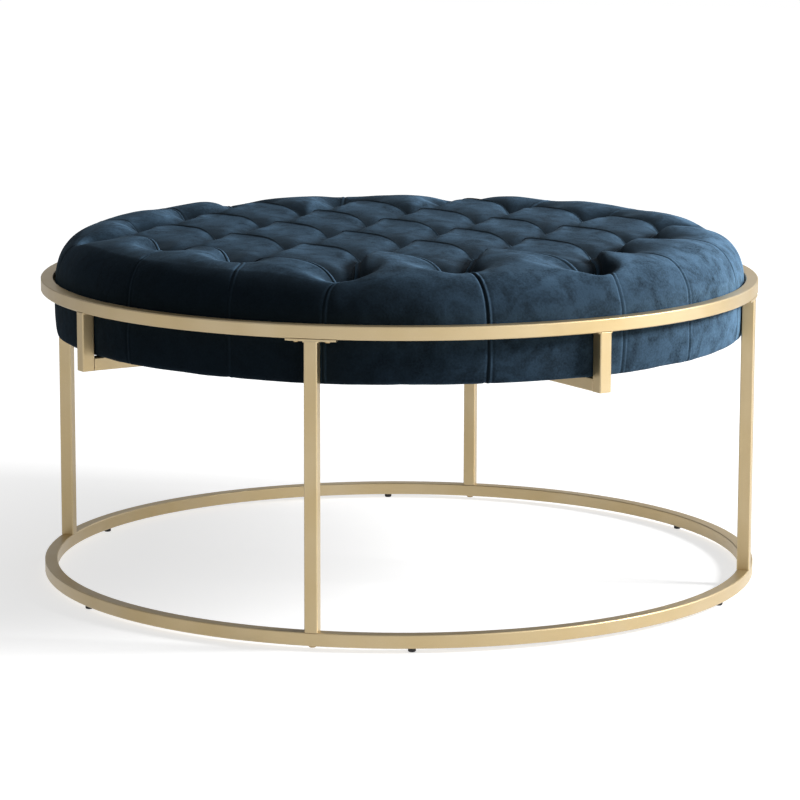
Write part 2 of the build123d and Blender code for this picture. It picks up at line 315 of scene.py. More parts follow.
@dataclass(frozen=True)
class SatinGold(Recipe):
    """Champagne-gold paint over steel, with a fine metallic grain, and edges that are rubbed and paler with a painted
    highlight.
    """

    name: str = "satin_champagne_gold"
    base: Colour = (0.555, 0.412, 0.198, 1.0)
    pale: Colour = (0.62, 0.5, 0.31, 1.0)
    # Paler colour of the flecks and of the edges; on the edges it is rubbing and a painted highlight.
    worn: Colour = (0.86, 0.78, 0.56, 1.0)
    cloud_size: float = 0.11
    metallic: float = 0.85
    roughness: float = 0.40
    uneven: float = 0.06
    coat: float = 0.34
    grain_size: float = 0.0007
    grain_depth: float = 0.00003
    fleck_share: float = 0.16
    edge_width: float = 0.0011
    edge_amount: float = 0.55

    def surface(self, write: NodeWriter) -> dict[str, object]:
        """Mix the paint.

        Args:
            write: writer of the material.

        Returns:
            The shader's inputs.
        """
        clouds = write.group(EFFECTS.clouds(), Size=self.cloud_size, Warp=0.3, Contrast=0.3)
        grain = write.group(EFFECTS.grain(), Size=self.grain_size, Depth=self.grain_depth)
        wear_and_highlight = write.group(EFFECTS.edge_wear(), Width=self.edge_width, Amount=self.edge_amount)
        flecks = write.times(write.ramp(grain["Mask"], 0.55, 0.8), self.fleck_share)
        flecked = write.mix(flecks, write.mix(clouds["Mask"], self.base, self.pale), self.worn)
        return {
            # Edges paler where rubbed, with a painted highlight on them too.
            "Base_Color": write.mix(wear_and_highlight["Mask"], flecked, self.worn),
            "Roughness": write.math("MULTIPLY_ADD", clouds["Fine"], self.uneven, self.roughness),
            "Normal": write.bump(grain["Height"], 0.6, Normal=wear_and_highlight["Normal"]),
            "Metallic": self.metallic, "Coat_Weight": self.coat, "Coat_Roughness": 0.25,
        }


@dataclass(frozen=True)
class PlainMetal(Recipe):
    """Bare or plated metal of the hidden hardware."""

    name: str
    base: Colour
    # Paler colour of the clouds and of the edges; on the edges it is rubbing and a painted highlight.
    worn: Colour
    roughness: float
    uneven: float = 0.15
    grain_size: float = 0.0009
    grain_depth: float = 0.00002
    cloud_size: float = 0.012
    cloud_share: float = 0.4

    def surface(self, write: NodeWriter) -> dict[str, object]:
        """Lay out the metal.

        Args:
            write: writer of the material.

        Returns:
            The shader's inputs.
        """
        grain = write.group(EFFECTS.grain(), Size=self.grain_size, Depth=self.grain_depth)
        clouds = write.group(EFFECTS.clouds(), Size=self.cloud_size, Contrast=0.3)
        wear_and_highlight = write.group(EFFECTS.edge_wear(), Width=0.0006, Amount=0.8)
        tone = write.mix(write.times(clouds["Mask"], self.cloud_share), self.base, self.worn)
        return {
            # Edges paler where rubbed, with a painted highlight on them too.
            "Base_Color": write.mix(wear_and_highlight["Mask"], tone, self.worn),
            "Roughness": write.math("MULTIPLY_ADD", grain["Mask"], self.uneven, self.roughness),
            "Normal": write.bump(grain["Height"], 0.5, Normal=wear_and_highlight["Normal"]),
            "Metallic": 1.0,
        }


@dataclass(frozen=True)
class Velvet(Recipe):
    """Navy velvet: a short brushed pile that is dark face on and, as painted sheen, pale where it is seen at a grazing
    angle, with painted shade in seams and hollows and painted light on rolls and on faces turned toward the key lamp's
    side.
    """

    name: str = "navy_velvet"
    # Colour of the painted shade in seams and creases.
    deep: Colour = (0.0006, 0.0032, 0.0040, 1.0)
    # Darker and paler tone of the nap; the mix between them also carries painted light and shade.
    pile: Colour = (0.006, 0.0125, 0.019, 1.0)
    brushed: Colour = (0.029, 0.057, 0.091, 1.0)
    # Painted sheen: its colour at grazing angles, its share and its power; then the share of painted light on the
    # rolls.
    tips: Colour = (0.125, 0.235, 0.365, 1.0)
    tip_share: float = 1.25
    tip_power: float = 1.9
    roll_share: float = 0.7
    # Direction toward which faces are painted lighter, as light from the key lamp's side.
    nap_turn: float = 13.0
    nap_size: float = 0.032
    nap_share: float = 0.42
    # Level of painted light on faces turned away from that side.
    nap_least: float = 0.18
    streak_size: float = 0.009
    streak_share: float = 0.2
    streak_depth: float = 0.0002
    fibre_size: float = 0.0026
    fibre_depth: float = 0.00045
    fibre_share: float = 0.45
    # Level from which the painted shade of the hollows is taken away.
    open_pile: float = 1.15
    sheen: float = 0.06
    sheen_tint: Colour = (0.30, 0.52, 0.74, 1.0)

    def surface(self, write: NodeWriter) -> dict[str, object]:
        """Brush the pile and paint in its sheen, light and shade.

        Args:
            write: writer of the material.

        Returns:
            The shader's inputs.
        """
        nap = write.group(EFFECTS.clouds(), Size=self.nap_size, Warp=0.9, Contrast=0.14)["Mask"]
        streaks = write.group(EFFECTS.clouds(), Size=self.streak_size, Warp=0.5, Contrast=0.25)["Mask"]
        fibre = write.group(EFFECTS.grain(), Size=self.fibre_size, Depth=self.fibre_depth)
        seams, rolls, hollows = (
            write.add("ShaderNodeAttribute", attribute_name=mask).outputs["Fac"] for mask in SEAT_MASKS
        )
        # Tone of the nap, streaks and fibres at random.
        nap_and_shading = write.times(nap, self.nap_share)
        nap_and_shading = write.math("MULTIPLY_ADD", streaks, self.streak_share, nap_and_shading)
        nap_and_shading = write.math("MULTIPLY_ADD", write.ramp(fibre["Mask"], 0.3, 0.75), self.fibre_share, nap_and_shading)
        # Painted light on faces turned toward the key lamp's side, and painted shade in the hollows.
        toward_lit_side = write.ramp(write.along(write.normal(), heading(self.nap_turn)), -0.18, 0.24)
        nap_and_shading = write.times(nap_and_shading, write.math("ADD", toward_lit_side, self.nap_least),
                           write.math("SUBTRACT", self.open_pile, hollows))
        # Painted sheen, paler at grazing angles, and painted light on the rolls.
        grazing = write.add("ShaderNodeLayerWeight", Blend=0.5).outputs["Facing"]
        share = write.times(write.math("POWER", grazing, self.tip_power), nap_and_shading, self.tip_share)
        share = write.math("MAXIMUM", share, write.times(rolls, self.roll_share))
        with_painted_sheen = write.mix(share, write.mix(nap_and_shading, self.pile, self.brushed), self.tips)
        height = write.math("MULTIPLY_ADD", streaks, self.streak_depth, fibre["Height"])
        # Painted shade darkens the seams and creases.
        return {
            "Base_Color": write.mix(seams, with_painted_sheen, self.deep), "Normal": write.bump(height, 0.5),
            "Roughness": 0.9, "Specular_IOR_Level": 0.12,
            "Sheen_Weight": self.sheen, "Sheen_Roughness": 0.35, "Sheen_Tint": self.sheen_tint,
        }


@dataclass(frozen=True)
class Moulded(Recipe):
    """Matt moulded plastic, foam or thread, told apart by colour and grain."""

    name: str
    base: Colour
    other: Colour
    roughness: float
    grain_size: float
    grain_depth: float
    cloud_share: float = 30.0
    uneven: float = 0.08

    def surface(self, write: NodeWriter) -> dict[str, object]:
        """Cast the stuff.

        Args:
            write: writer of the material.

        Returns:
            The shader's inputs.
        """
        grain = write.group(EFFECTS.grain(), Size=self.grain_size, Depth=self.grain_depth)
        clouds = write.group(EFFECTS.clouds(), Size=self.grain_size * self.cloud_share, Contrast=0.25)
        share = write.times(write.math("ADD", grain["Mask"], clouds["Mask"]), 0.5)
        return {
            "Base_Color": write.mix(share, self.base, self.other), "Normal": write.bump(grain["Height"], 0.8),
            "Roughness": write.math("MULTIPLY_ADD", clouds["Fine"], self.uneven, self.roughness),
        }


@dataclass(frozen=True)
class Plywood(Recipe):
    """Birch plywood: long grain on the faces and layered edges."""

    name: str = "birch_plywood"
    light: Colour = (0.52, 0.37, 0.22, 1.0)
    dark: Colour = (0.30, 0.18, 0.09, 1.0)
    layer: float = 0.0018
    stretch: tuple[float, float, float] = (1.0, 14.0, 1.0)

    def surface(self, write: NodeWriter) -> dict[str, object]:
        """Lay up the wood.

        Args:
            write: writer of the material.

        Returns:
            The shader's inputs.
        """
        stretched = write.add("ShaderNodeMapping", Vector=write.place(), Scale=self.stretch).outputs["Vector"]
        fibres = write.noise(stretched, 9.0, 6.0, Distortion=0.8)
        height, faces = (write.add("ShaderNodeSeparateXYZ", Vector=vector).outputs["Z"]
                         for vector in (write.place(), write.normal()))
        layers = write.ramp(write.math("SINE", write.times(height, math.pi / self.layer)), -0.2, 0.2)
        upright = write.ramp(write.math("ABSOLUTE", faces), 0.2, 0.8)
        share = write.add("ShaderNodeMix", Factor=upright, A=layers, B=write.ramp(fibres, 0.35, 0.68))
        return {
            "Base_Color": write.mix(share.outputs["Result"], self.light, self.dark),
            "Normal": write.bump(fibres, 0.3, 0.0005), "Roughness": 0.7,
        }


@dataclass(frozen=True)
class DustCloth(Recipe):
    """Black non-woven cloth with a pressed pattern of small dimples."""

    name: str = "black_dust_cloth"
    base: Colour = (0.012, 0.012, 0.013, 1.0)
    worn: Colour = (0.035, 0.035, 0.037, 1.0)
    pitch: float = 0.0024
    dimple_depth: float = 0.0002

    def surface(self, write: NodeWriter) -> dict[str, object]:
        """Press the cloth.

        Args:
            write: writer of the material.

        Returns:
            The shader's inputs.
        """
        weave = write.group(EFFECTS.weave(), Pitch=self.pitch)["Height"]
        fibre = write.group(EFFECTS.grain(), Size=0.0008, Depth=0.0001)
        raised = write.math("MULTIPLY_ADD", weave, self.dimple_depth, fibre["Height"])
        return {
            "Base_Color": write.mix(write.times(weave, fibre["Mask"]), self.base, self.worn),
            "Normal": write.bump(raised, 0.7), "Roughness": 0.95,
        }


@dataclass(frozen=True)
class FloorWhite(Recipe):
    """White floor that glows for the camera and, less behind the table, in the metal."""

    turn: float
    table_radius: float
    behind: float
    name: str = "studio_white"
    glow: float = 0.72
    glow_share: float = 3.2

    def surface(self, write: NodeWriter) -> dict[str, object]:
        """Light the floor.

        Args:
            write: writer of the material.

        Returns:
            The shader's inputs.
        """
        path = write.add("ShaderNodeLightPath").outputs
        near_side = write.ramp(write.along(write.place(), heading(self.turn - 90)), -1.1, 0.3, self.behind)
        mirrored = write.times(path["Is Glossy Ray"], near_side)
        seen = write.math("MAXIMUM", path["Is Camera Ray"], mirrored)
        away = write.math("LENGTH", write.place(), kind=VECTOR_MATH)
        far = write.ramp(away, self.table_radius, self.glow_share * self.table_radius)
        glow = write.math("MULTIPLY_ADD", far, 1.0 - self.glow, self.glow)
        return {
            "Base_Color": (0.5, 0.5, 0.5, 1.0), "Roughness": 1.0, "Specular_IOR_Level": 0.0,
            "Emission_Color": (1.0, 1.0, 1.0, 1.0), "Emission_Strength": write.times(seen, glow),
        }


class Finish(Enum):
    """The finishes of the table, each with its recipe. The record's slots have the same names in small letters."""

    FRAME_GOLD = SatinGold()
    FASTENER_GOLD = SatinGold(
        name="plated_gold_screws", base=(0.46, 0.32, 0.15, 1.0), pale=(0.58, 0.43, 0.23, 1.0), metallic=0.9,
        roughness=0.3, grain_size=0.0004, edge_width=0.0004,
    )
    STEEL = PlainMetal("zinc_plated_steel", (0.42, 0.43, 0.44, 1.0), (0.62, 0.63, 0.64, 1.0), 0.3)
    GLIDE_BLACK = Moulded(
        "black_glide_plastic", (0.008, 0.008, 0.009, 1.0), (0.02, 0.02, 0.022, 1.0), 0.5, 0.0004, 0.00003
    )
    PLYWOOD = Plywood()
    DUST_CLOTH = DustCloth()
    FOAM = Moulded("open_cell_foam", (0.72, 0.66, 0.48, 1.0), (0.60, 0.52, 0.33, 1.0), 0.95, 0.0016, 0.0006)
    TWINE = Moulded("waxed_twine", (0.62, 0.56, 0.42, 1.0), (0.42, 0.36, 0.24, 1.0), 0.8, 0.0006, 0.0002)
    VELVET = Velvet()

    def cover(self, piece: Piece) -> None:
        """Give the whole piece this finish."""
        piece.data.materials.clear()
        piece.data.materials.append(self.value.material())


def mesh_object(name: str, points: Array, faces: list, smooth: bool = True) -> Piece:
    """Make a mesh object.

    Args:
        name: name of the piece.
        points: its vertices in metres, one row each.
        faces: lists of vertex numbers.
        smooth: whether it is shaded smooth.

    Returns:
        The new object, linked to the scene.
    """
    mesh = bpy.data.meshes.new(name)
    mesh.from_pydata([tuple(point) for point in points], [], [tuple(face) for face in faces])
    mesh.validate()
    mesh.polygons.foreach_set("use_smooth", [smooth] * len(mesh.polygons))
    piece = bpy.data.objects.new(name, mesh)
    bpy.context.scene.collection.objects.link(piece)
    return piece


def joined_rings(stacks: list[Array]) -> tuple[Array, list[list[int]]]:
    """Skin stacks of rings, each closed at both ends.

    Args:
        stacks: points of each stack, by ring and by place round the ring.

    Returns:
        Points and faces.
    """
    faces, start = [], 0
    for stack in stacks:
        rings, sides = stack.shape[:2]
        grid = start + np.arange(rings * sides).reshape(rings, sides)
        after = np.roll(grid, -1, axis=1)
        faces += np.stack([grid[:-1], grid[1:], after[1:], after[:-1]], axis=-1).reshape(-1, 4).tolist()
        faces += [grid[0].tolist(), grid[-1, ::-1].tolist()]
        start += rings * sides
    return np.concatenate([stack.reshape(-1, 3) for stack in stacks]), faces


def distance_tree(places: Array) -> KDTree:
    """Make a tree that finds the nearest of some places.

    Args:
        places: the places, one row each.

    Returns:
        The tree, with the rows' numbers.
    """
    tree = KDTree(len(places))
    for index, place in enumerate(places):
        tree.insert(place, index)
    tree.balance()
    return tree


def arc_points(start: tuple, through: tuple, end: tuple, shares: Array) -> Array:
    """Walk along the arc through three points of a plane.

    Args:
        start: first point.
        through: a point between.
        end: last point.
        shares: how far along the arc each wanted point is, from 0 to 1.

    Returns:
        The points, one row each.
    """
    (ax, ay), (bx, by), (cx, cy) = start, through, end
    double = 2 * (ax * (by - cy) + bx * (cy - ay) + cx * (ay - by))
    if abs(double) < 1e-12:
        return np.outer(1 - shares, start) + np.outer(shares, end)
    a2, b2, c2 = ax * ax + ay * ay, bx * bx + by * by, cx * cx + cy * cy
    ox = (a2 * (by - cy) + b2 * (cy - ay) + c2 * (ay - by)) / double
    oy = (a2 * (cx - bx) + b2 * (ax - cx) + c2 * (bx - ax)) / double
    first = math.atan2(ay - oy, ax - ox)
    middle = (math.atan2(by - oy, bx - ox) - first) % (2 * math.pi)
    sweep = (math.atan2(cy - oy, cx - ox) - first) % (2 * math.pi)
    if middle > sweep:
        sweep -= 2 * math.pi
    turns = first + sweep * shares
    radius = math.hypot(ax - ox, ay - oy)
    return np.stack([ox + radius * np.cos(turns), oy + radius * np.sin(turns)], axis=1)


def steps(count: int, start: float = 0.0) -> Array:
    """Give equal steps up to 1, without the start."""
    return np.linspace(start, 1, count + 1)[1:]


def plan_key(place: Place) -> Place:
    """Round a place in plan so that it can be looked up."""
    return round(place[0], 4), round(place[1], 4)


@dataclass
class Patch:
    """One quilted panel as a grid of points, with what its seams do to each point.

    The grid runs columns by rows. Tuck is how much of the folded band of cloth lies at a point, slot how
    much of the sewn groove, and lean the way in which the band is pushed over the groove.
    """

    points: Array
    tuck: Array
    slot: Array
    lean: Array


@dataclass
class TuftedSeat:
    """Velvet cover with deep diamond tufting, drawn over foam and turned in under the board.

    Lengths are in metres. The plan is laid out in rows and then turned on the seat.
    """

    crown: float
    bottom: float
    radius: float
    tuft_margin: float = 0.083
    row_gap_share: float = 0.766
    longest_row: int = 6
    outermost_row: int = 3
    row_angle: float = 23.7
    tuft_depth: float = 0.034
    fold_depth: float = 0.0150
    slope_reach: float = 0.034
    bowl_depth: float = 0.0150
    left_bowl_reach: float = 0.036
    right_bowl_reach: float = 0.029
    far_bowl_reach: float = 0.007
    falling_cliff: float = 0.0022
    rising_cliff: float = 0.0100
    brow_depth: float = 0.0012
    brow_reach: float = 0.022
    funnel_reach: float = 0.0060
    pleat_reach: float = 0.056
    pleat_pull: float = 0.55
    blend_power: float = 2.5
    bulge: float = 0.0050
    bowed_share: float = 1.06
    pleat_start: float = 0.030
    shade_start: float = 0.0008
    shade_depth: float = 0.0115
    shade_margin: float = 0.6
    lean_share: float = 0.9
    cloth_stops: tuple[float, ...] = (0.0, 0.007, 0.015, 0.024, 0.034, 0.046)
    cloth_pressure: float = 4.0
    cloth_frames: int = 20
    cloth_cap: float = 0.0046
    cloth_sideways: float = 0.4
    cloth_margin: float = 0.030
    cloth_spread: float = 0.006
    cloth_near: int = 8
    cloth_tuft: float = 0.004
    fade: float = 0.02
    pleat_angles: tuple[float, ...] = (0.0, 28.0, 48.0, 67.0, 90.0)
    pleat_turns: dict[int, float] = field(default_factory=lambda: {9: 3.5, 10: 4.0, 11: 0.5, 12: 2.8, 13: 3.2})
    pleat_depth: float = 0.0014
    pleat_fullness: float = 0.20
    pleat_strengths: tuple[float, ...] = (
        0.5, 0.4, 0.6, 0.7, 0.5, 0.6, 0.8, 0.5, 0.6, 0.5, 0.4, 0.45, 0.8, 0.45, 0.4, 0.45,
    )
    side_draw: float = 0.0022
    shoulder_radius: float = 0.056
    shoulder_angle: float = 66.0
    shoulder_drop: float = 0.058
    corner_radius: float = 0.008
    lip_width: float = 0.050
    tuck_height: float = 0.0031
    tuck_place: float = 0.0036
    tuck_width: float = 0.0015
    slot_depth: float = 0.0060
    slot_width: float = 0.0019
    crease_place: float = 0.0066
    crease_width: float = 0.0014
    crease_depth: float = 0.0016
    pleat_band_share: float = 0.25
    pleat_slot_share: float = 0.18
    stray: float = 0.0018
    outer_pull: float = 0.010
    outer_depth: float = 0.018
    pattern_shift: Place = (-0.0100, 0.0020)
    hollow_reach: float = 0.020
    pull_reach: float = 0.085
    pull_floor: float = 0.06
    pull_fade: float = 0.03
    tuft_shifts: dict[tuple[int, int], Place] = field(default_factory=lambda: {
        (-3, 0): (0.026, -0.024), (-3, 1): (0.015, -0.010), (-3, 2): (0.032, -0.010), (-2, 0): (-0.004, -0.004),
    })
    swell_power: float = 0.4
    swell_height: float = 0.0025
    swell_start: float = 0.006
    swell_reach: float = 0.032
    unevenness: float = 0.0011
    broad_scale: float = 17.0
    small_scale: float = 52.0
    small_share: float = 0.35
    gather_height: float = 0.0011
    gather_reach: float = 0.030
    drag_height: float = 0.0005
    seam_stops: tuple[float, ...] = (
        0.0, 0.0010, 0.0020, 0.0030, 0.0040, 0.0050, 0.0060, 0.0070, 0.0080, 0.0092, 0.0110, 0.0140, 0.0185, 0.0250,
        0.0325, 0.0410, 0.0500,
    )

    def __post_init__(self) -> None:
        """Work out the pitch of the tufts and the levels of the seams."""
        self.pitch = 2 * (self.radius - self.tuft_margin) / (self.longest_row - 1)
        self.row_gap = self.pitch * self.row_gap_share
        self.side = math.hypot(self.pitch / 2, self.row_gap)
        self.across = self.pitch * self.row_gap / self.side
        half = np.array(self.seam_stops) / self.across
        self.stops = np.concatenate([half, [0.5], 1 - half[::-1]])

    def row(self, number: int) -> list[Place]:
        """Give the tufts of one row in plan, from left to right; rows count from the middle one."""
        count = self.longest_row - abs(number)
        return [((place - (count - 1) / 2) * self.pitch, number * self.row_gap) for place in range(count)]

    def tufts(self) -> dict[tuple[int, int], Place]:
        """Give every tuft in plan by its row and its number in the row."""
        rows = range(-self.outermost_row, self.outermost_row + 1)
        return {(number, index): tuft for number in rows for index, tuft in enumerate(self.row(number))}

    def outer_tufts(self) -> list[Place]:
        """Give the tufts round the edge of the pattern, counter-clockwise.

        Returns:
            The tufts, from the right end of the middle row.
        """
        right = [self.row(number)[-1] for number in range(self.outermost_row)]
        top = self.row(self.outermost_row)[::-1]
        left = [self.row(number)[0] for number in range(self.outermost_row - 1, 0, -1)]
        half = right + top + left
        return half + [(-x, -y) for x, y in half]

    def rim_angles(self) -> list[float]:
        """Give the angle at which each outer tuft's pleat meets the rim.

        Returns:
            Angles in radians, one for each outer tuft and one more that closes the turn.
        """
        quarter = [math.radians(angle) for angle in self.pleat_angles]
        half = quarter[:-1] + [math.pi - angle for angle in quarter[:0:-1]]
        whole = half + [math.pi + angle for angle in half] + [2 * math.pi]
        return [angle + math.radians(self.pleat_turns.get(index, 0.0)) for index, angle in enumerate(whole)]

    def hollow(self, fold: Array, left: Array, right: Array, reaches: tuple) -> Array:
        """Join the depth of a fold with the bowls and funnels round its two tufts.

        Args:
            fold: depth that the fold alone has.
            left: distance from its left tuft, in metres.
            right: distance from its right tuft.
            reaches: how wide the bowls at the two tufts are.

        Returns:
            Depth under the crown.
        """
        bowls = self.bowl_depth * np.exp(-((left / reaches[0]) ** 2))
        bowls = bowls + self.bowl_depth * np.exp(-((right / reaches[1]) ** 1.5))
        funnel = self.tuft_depth - math.hypot(self.fold_depth, self.bowl_depth)
        pinch = np.exp(-left / self.funnel_reach) + np.exp(-right / self.funnel_reach)
        return np.hypot(fold, bowls) + funnel * pinch

    def fold_drop(self, share: Array, distance: Array, rising: bool, upper: bool) -> Array:
        """Give how deep a fold between two tufts draws the cloth down.

        Args:
            share: how far along the fold from its left tuft, from 0 to 1.
            distance: how far from the fold, in metres.
            rising: whether the fold runs away from the near side to the far side as it goes right.
            upper: whether the cloth turns over the fold like a brow here, or runs in under the brow.

        Returns:
            Depth under the crown.
        """
        left, right = share.clip(0, 1) * self.side, (1 - share).clip(0, 1) * self.side
        around = np.hypot(left, distance), np.hypot(right, distance)
        wide = self.left_bowl_reach, self.right_bowl_reach
        if not upper:
            slope = self.fold_depth * np.exp(-((distance / self.slope_reach) ** 1.2))
            return self.hollow(slope, *around, wide)
        cliff = np.exp(-((distance / (self.rising_cliff if rising else self.falling_cliff)) ** 2))
        shown = (wide[0], self.far_bowl_reach) if rising else (self.far_bowl_reach, wide[1])
        if not rising:
            around = around[0], np.hypot(right, 0.4 * distance)
        crest = self.hollow(self.brow_depth * np.exp(-distance / self.brow_reach), *around, shown)
        return cliff * self.hollow(self.fold_depth, left, right, wide) + (1 - cliff) * crest

    def pleat_drop(self, away: Array) -> Array:
        """Give how deep a pleat draws the cloth down at a distance from its tuft."""
        fold = self.fold_depth * np.exp(-((away / self.pleat_reach) ** 2))
        return self.hollow(fold, away, self.side + 0 * away, (self.left_bowl_reach, self.right_bowl_reach))

    def blended(self, distances: list[Array], drops: list[Array]) -> Array:
        """Join the depths that several folds ask for, the nearer fold counting for more."""
        weights = [1 / (distance + 1e-9) ** self.blend_power for distance in distances]
        return sum(weight * drop for weight, drop in zip(weights, drops)) / sum(weights)

    def seam(self, distance: Array, along: Array) -> tuple[Array, Array]:
        """Give the band of folded cloth and the groove beside one seam.

        Args:
            distance: how far each point is from the seam, in metres.
            along: how far along the seam it is, from 0 at one tuft to 1 at the next.

        Returns:
            Height of the band and depth of the groove, each in metres.
        """
        reach = np.sin(np.pi * np.clip(along, 0, 1)) ** 0.4
        band = np.exp(-(((distance - self.tuck_place) / self.tuck_width) ** 2))
        crease = np.exp(-(((distance - self.crease_place) / self.crease_width) ** 2))
        groove = np.exp(-((distance / self.slot_width) ** 2))
        return reach * (self.tuck_height * band - self.crease_depth * crease), self.slot_depth * reach * groove

    def diamond(self, x: float, y: float) -> Patch:
        """Make the puff between four tufts.

        Args:
            x: middle of the diamond along the rows.
            y: middle of the diamond across the rows.

        Returns:
            The puff's grid.
        """
        left = np.array([x - self.pitch / 2, y])
        to_near = np.array([self.pitch / 2, -self.row_gap])
        to_far = np.array([self.pitch / 2, self.row_gap])
        s, t = np.meshgrid(self.stops, self.stops, indexing="ij")
        plan = left + s[..., None] * to_near + t[..., None] * to_far
        near, far, west, east = (share * self.across for share in (t, 1 - t, s, 1 - s))
        drop = self.blended([near, far, west, east], [
            self.fold_drop(s, near, False, False), self.fold_drop(s, far, False, True),
            self.fold_drop(t, west, True, True), self.fold_drop(t, east, True, False),
        ])
        points = np.concatenate([plan, (self.crown - drop)[..., None]], axis=2)
        (far_band, far_slot), (west_band, west_slot) = self.seam(far, s), self.seam(west, t)
        near_slot, east_slot = self.seam(near, s)[1], self.seam(east, t)[1]
        over = np.array([self.row_gap, self.pitch / 2, 0.0]) / self.side
        back = np.array([-self.row_gap, self.pitch / 2, 0.0]) / self.side
        lean = np.maximum(far_band, 0)[..., None] * over + np.maximum(west_band, 0)[..., None] * back
        slot = far_slot + west_slot * (t < 1) + near_slot * (s > 0) * (t < 1) + east_slot * (t > 0) * (s < 1)
        return Patch(points, far_band + west_band, slot.clip(0, self.slot_depth), lean)

    def section(self, inner: Array, angle: float, full: float) -> Array:
        """Run the cover from the tufting over the shoulder to the underside of the seat.

        Args:
            inner: point on the outer fold where the section starts.
            angle: direction in which it meets the rim, in radians.
            full: 1 in the middle of a panel and 0 in a pleat.

        Returns:
            Points down the section, one row each.
        """
        recess = self.pleat_depth * (1 - full)
        rim = np.array([math.cos(angle), math.sin(angle)]) * (self.radius - recess)
        reach = float(np.linalg.norm(rim - inner[:2]))
        inward = (inner[:2] - rim) / reach
        side_top = self.crown - self.shoulder_drop - recess
        corner_top = self.bottom + self.corner_radius
        turn = math.radians(self.shoulder_angle)

        def shoulder(angle_up: float) -> Place:
            """Give a point of the rounded shoulder."""
            depth = self.side_draw + self.shoulder_radius * (1 - math.cos(angle_up))
            return depth, side_top + self.shoulder_radius * math.sin(angle_up)

        depth, level = shoulder(turn)
        chord, rise = reach - depth, inner[2] - level
        bow = math.tan((math.pi / 2 - turn - math.atan2(rise, chord)) / 2) / 2
        bow = min(bow, self.bulge / chord)
        crest = (depth + chord / 2 - rise * bow, level + rise / 2 + chord * bow)
        cut = self.corner_radius * (1 - math.cos(math.pi / 4))
        draw, corner = self.side_draw, self.corner_radius
        top_length = math.hypot(chord, rise) * self.bowed_share
        start = np.array(self.seam_stops) / top_length
        stretches = [
            arc_points((reach, inner[2]), crest, (depth, level), np.concatenate([start, steps(21, start[-1])])),
            arc_points((depth, level), shoulder(turn / 2), (draw, side_top), steps(12)),
            arc_points((draw, side_top), (0, (side_top + corner_top) / 2), (draw, corner_top), steps(16)),
            arc_points((draw, corner_top), (draw + cut, self.bottom + cut), (draw + corner, self.bottom), steps(5)),
            arc_points((draw + corner, self.bottom), (draw + 2 * corner, self.bottom),
                       (self.lip_width + recess, self.bottom), steps(7)),
        ]
        flat = np.concatenate(stretches)
        plan = rim + flat[:, :1] * inward
        return np.concatenate([plan, flat[:, 1:]], axis=1)

    def reach_to(self, places: Array, first: Array, last: Array) -> tuple:
        """Give how far places in plan are from a straight seam.

        Args:
            places: the places, with x and y last.
            first: one end of the seam.
            last: its other end.

        Returns:
            The distances in metres, and how far along the seam the nearest points lie, from 0 to 1.
        """
        run = last - first
        share = ((places - first) @ run / (run @ run)).clip(0, 1)
        return np.linalg.norm(places - first - share[..., None] * run, axis=-1), share

    def panel(self, start: Place, end: Place, angles: Place, strengths: Place) -> Patch:
        """Make the panel of the side between two pleats.

        Args:
            start: outer tuft where it begins.
            end: next outer tuft.
            angles: rim angles of its two pleats, in radians.
            strengths: how deep its two pleats are sewn, from 0 to 1.

        Returns:
            The panel's grid, columns round the seat and rows down it.
        """
        a, b = np.array(start), np.array(end)
        high = a[1] + b[1] < 0
        if abs(a[1] - b[1]) < 1e-9:
            inward = -1 if a[1] > 0 else 1
            corner = np.array([(a[0] + b[0]) / 2, a[1] + inward * self.row_gap])
            plan = np.concatenate([a + self.stops[:, None] * (corner - a),
                                   corner + self.stops[1:, None] * (b - corner)])
            kinds = [(a, corner, True), (corner, b, False)]
            shares = np.concatenate([self.stops / 2, 0.5 + self.stops[1:] / 2])
            along = np.concatenate([self.stops, self.stops[1:]])
        else:
            plan = a + self.stops[:, None] * (b - a)
            rising = (a[0] - b[0]) * (a[1] - b[1]) > 0
            kinds = [(a, b, rising)]
            shares, along = self.stops, self.stops
        columns = []
        for point, share in zip(plan, shares):
            angle = angles[0] + (angles[1] - angles[0]) * share
            full = math.sin(math.pi * share) ** self.pleat_fullness if 0 < share < 1 else 0.0
            depth = strengths[0] * (1 - share) + strengths[1] * share
            inner = np.array([*point, self.crown])
            columns.append(self.section(inner, angle, 1 - depth * (1 - full)))
        points = np.array(columns)
        length = np.cumsum(np.linalg.norm(np.diff(points, axis=1, prepend=points[:, :1]), axis=2), axis=1)
        swell = (1 - np.exp(-length / self.swell_start)) * np.exp(-length / self.swell_reach)
        spread = np.sin(np.pi * shares).clip(0, 1) ** self.swell_power
        points[..., 2] += self.swell_height * swell * spread[:, None]
        distances, drops = [], []
        for first, last, rising in kinds:
            distance, share = self.reach_to(points[..., :2], first, last)
            share = share if last[0] > first[0] else 1 - share
            distances.append(distance)
            drops.append(self.fold_drop(share, distance, rising, high))
        near = np.min(distances, axis=0)
        for tuft, angle in zip((a, b), angles):
            rim = np.array([math.cos(angle), math.sin(angle)]) * self.radius
            distances.append(self.pleat_pull * self.reach_to(points[..., :2], tuft, rim)[0])
            drops.append(self.pleat_drop(np.linalg.norm(points[..., :2] - tuft, axis=-1)))
        points[..., 2] -= self.blended(distances, drops)
        band, fold = self.seam(near, along[:, None])
        width = (angles[1] - angles[0]) * self.radius
        down = np.clip(length / self.pleat_start, 0, 1)
        pleat_band, pleat_slot = self.seam(shares * width, np.full_like(shares, 0.5))
        end_slot = self.seam((1 - shares) * width, np.full_like(shares, 0.5))[1]
        sewn = strengths[0] * pleat_slot + strengths[1] * end_slot
        slot = self.pleat_slot_share * sewn[:, None] * down + fold
        tuck = self.pleat_band_share * strengths[0] * pleat_band[:, None] * down
        lean = np.zeros_like(points)
